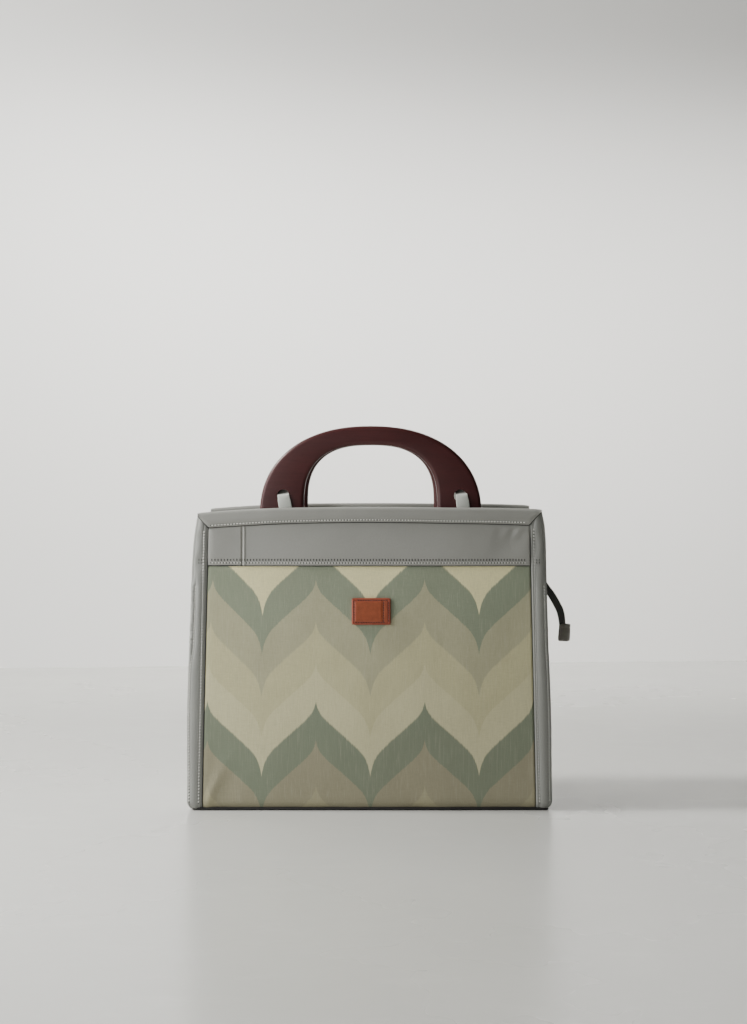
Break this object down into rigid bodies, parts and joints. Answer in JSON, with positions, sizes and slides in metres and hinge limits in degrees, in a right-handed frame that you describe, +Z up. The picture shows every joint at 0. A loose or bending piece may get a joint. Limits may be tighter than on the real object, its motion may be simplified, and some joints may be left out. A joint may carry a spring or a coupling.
{
  "type": "handbag",
  "caption": "Upright handbag with wave-printed cloth faces, leatherette band, rim and corner strips, closed zip top and arched wooden handles held by strap loops.",
  "frame": {"origin": "centre of the base's lower face, on the floor that the bag stands on", "axes": "+Z up; the front face with the label patch is at -Y and the rear face at +Y; +X is to the right of someone who looks at the front, the side where the zip's tail hangs"},
  "size_m": [0.3535, 0.1451, 0.3475],
  "materials": {
    "base_board": "dark matt base, slightly grained",
    "printed_cloth": "woven cloth with a printed wave pattern in cream, sage and taupe",
    "leatherette": "warm grey leatherette with a fine grain, satin",
    "rim_leatherette": "warm grey leatherette, rolled and topstitched",
    "edge_leatherette": "warm grey leatherette, topstitched along the corner",
    "side_leatherette": "soft warm grey leatherette with a fine grain",
    "zip_tape": "charcoal zip tape with moulded teeth",
    "zip_metal": "dull nickel",
    "tail_strap": "charcoal folded tape",
    "tail_end": "dark grey moulded end, matt",
    "handle_wood": "dark red-brown stained wood, satin varnish",
    "strap_leather": "pale grey leatherette strap, satin",
    "label_leather": "tan leather with a stitched border, bare"
  },
  "bodies": {
    "root": {"base_panel": "base_board", "front_fabric_panel": "printed_cloth", "rear_fabric_panel": "printed_cloth", "front_top_band": "leatherette", "rear_top_band": "leatherette", "front_rim_binding": "rim_leatherette", "rear_rim_binding": "rim_leatherette", "front_left_edge_strip": "edge_leatherette", "front_right_edge_strip": "edge_leatherette", "rear_left_edge_strip": "edge_leatherette", "rear_right_edge_strip": "edge_leatherette", "left_gusset": "side_leatherette", "right_gusset": "side_leatherette", "zip_panel_front": "side_leatherette", "zip_panel_rear": "side_leatherette", "zip_tape": "zip_tape", "zip_slider": "zip_metal", "zip_tail": "tail_strap", "zip_tail_end": "tail_end", "front_handle": "handle_wood", "rear_handle": "handle_wood", "front_left_handle_loop": "strap_leather", "front_right_handle_loop": "strap_leather", "rear_left_handle_loop": "strap_leather", "rear_right_handle_loop": "strap_leather", "label_patch": "label_leather"}
  },
  "joints": []
}
